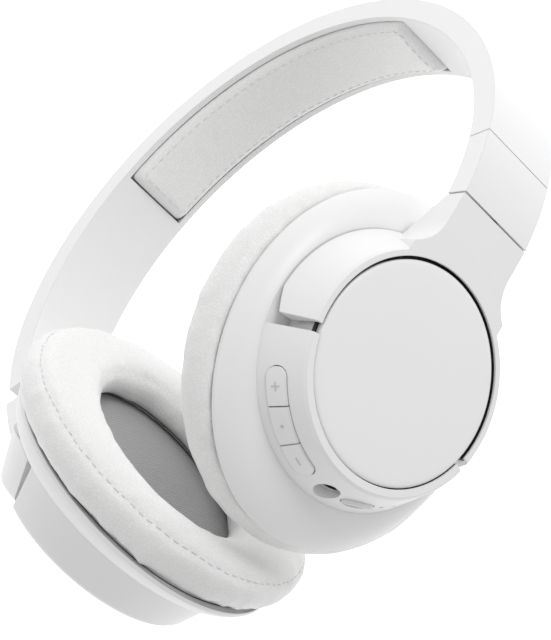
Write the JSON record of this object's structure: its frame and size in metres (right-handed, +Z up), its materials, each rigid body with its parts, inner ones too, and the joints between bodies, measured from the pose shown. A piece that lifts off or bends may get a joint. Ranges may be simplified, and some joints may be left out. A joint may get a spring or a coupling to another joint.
{
  "type": "over-ear headphones",
  "caption": "Over-ear headphones: a curved band with a crown pad, sliding arms, turning forks and tilting round cups with deep ear cushions.",
  "frame": {"origin": "crown of the head: the middle of the pad's inner face, where the band rests", "axes": "+Z up, +X towards the cup that carries the keys, -Y towards the wearer's front or back, across the band's width"},
  "size_m": [0.1534, 0.0884, 0.1783],
  "materials": {
    "band_plastic": "smooth satin",
    "cup_plastic": "smooth satin",
    "cap_plastic": "fine satin",
    "key_plastic": "satin",
    "pad_leather": "soft grain",
    "cushion_leather": "soft grain",
    "spring_steel": "brushed",
    "strip_steel": "brushed",
    "shaft_steel": "turned",
    "fastener_steel": "blackened",
    "washer_plastic": "matte",
    "inner_plastic": "matte",
    "magnet_plated": "plated",
    "coil_copper": "enamelled",
    "diaphragm_film": "thin film",
    "grille_metal": "matte black",
    "ear_cloth": "open knit",
    "socket_plastic": "dark",
    "mic_can": "plain",
    "board": "coated",
    "battery_foil": "foil"
  },
  "bodies": {
    "band": {"headband_shell": "band_plastic", "headband_spring": "spring_steel", "headband_pad": "pad_leather", "band_rivets": "fastener_steel"},
    "right_arm": {"arm_right": "cup_plastic", "slider_strip_right": "strip_steel", "swivel_shaft_right": "shaft_steel", "swivel_washer_right": "washer_plastic"},
    "right_fork": {"fork_right": "cup_plastic", "pivot_pins_right": "shaft_steel"},
    "right_cup": {"cup_housing_right": "cup_plastic", "disc_cap_right": "cap_plastic", "baffle_right": "inner_plastic", "baffle_screws_right": "fastener_steel", "driver_basket_right": "inner_plastic", "driver_magnet_right": "magnet_plated", "voice_coil_right": "coil_copper", "diaphragm_right": "diaphragm_film", "driver_grille_right": "grille_metal", "ear_cloth_right": "ear_cloth", "cushion_ring_right": "inner_plastic", "ear_cushion_right": "cushion_leather", "audio_socket": "socket_plastic", "microphone": "mic_can", "circuit_board": "board"},
    "left_arm": {"arm_left": "cup_plastic", "slider_strip_left": "strip_steel", "swivel_shaft_left": "shaft_steel", "swivel_washer_left": "washer_plastic"},
    "left_fork": {"fork_left": "cup_plastic", "pivot_pins_left": "shaft_steel"},
    "left_cup": {"cup_housing_left": "cup_plastic", "disc_cap_left": "cap_plastic", "baffle_left": "inner_plastic", "baffle_screws_left": "fastener_steel", "driver_basket_left": "inner_plastic", "driver_magnet_left": "magnet_plated", "voice_coil_left": "coil_copper", "diaphragm_left": "diaphragm_film", "driver_grille_left": "grille_metal", "ear_cloth_left": "ear_cloth", "cushion_ring_left": "inner_plastic", "ear_cushion_left": "cushion_leather", "battery": "battery_foil"},
    "volume_up_key": {"volume_up_key": "key_plastic"},
    "play_key": {"play_key": "key_plastic"},
    "volume_down_key": {"volume_down_key": "key_plastic"},
    "mode_key": {"mode_key": "key_plastic"}
  },
  "joints": [
    {"name": "right_slide", "type": "slide", "parent": "band", "child": "right_arm", "axis": [0.0175, 0, -0.9998], "range_m": [0, 0.012]},
    {"name": "right_swivel", "type": "hinge", "parent": "right_arm", "child": "right_fork", "pos_m": [0.06694, 0, -0.09382], "axis": [0.4571, 0, 0.8894], "range_deg": [0, 85]},
    {"name": "right_tilt", "type": "hinge", "parent": "right_fork", "child": "right_cup", "pos_m": [0.03908, 0, -0.1268], "axis": [0, 1, 0], "range_deg": [-18, 0]},
    {"name": "left_slide", "type": "slide", "parent": "band", "child": "left_arm", "axis": [-0.0175, 0, -0.9998], "range_m": [-0.005, 0.007]},
    {"name": "left_swivel", "type": "hinge", "parent": "left_arm", "child": "left_fork", "pos_m": [-0.06703, 0, -0.09882], "axis": [-0.4571, 0, 0.8894], "range_deg": [0, 20]},
    {"name": "left_tilt", "type": "hinge", "parent": "left_fork", "child": "left_cup", "pos_m": [-0.0393, -0.00168, -0.13187], "axis": [-0.1544, -0.9848, -0.0794], "range_deg": [-3, 0]},
    {"name": "volume_up_key_press", "type": "slide", "parent": "right_cup", "child": "volume_up_key", "axis": [0.3686, 0.749, 0.5506], "range_m": [0, 0.0004], "stiffness_N_per_m": 900},
    {"name": "play_key_press", "type": "slide", "parent": "right_cup", "child": "play_key", "axis": [0.4743, 0.5225, 0.7085], "range_m": [0, 0.0004], "stiffness_N_per_m": 900},
    {"name": "volume_down_key_press", "type": "slide", "parent": "right_cup", "child": "volume_down_key", "axis": [0.5386, 0.2504, 0.8045], "range_m": [0, 0.0004], "stiffness_N_per_m": 900},
    {"name": "mode_key_press", "type": "slide", "parent": "right_cup", "child": "mode_key", "axis": [0.5121, -0.3907, 0.7649], "range_m": [0, 0.0004], "stiffness_N_per_m": 900}
  ]
}
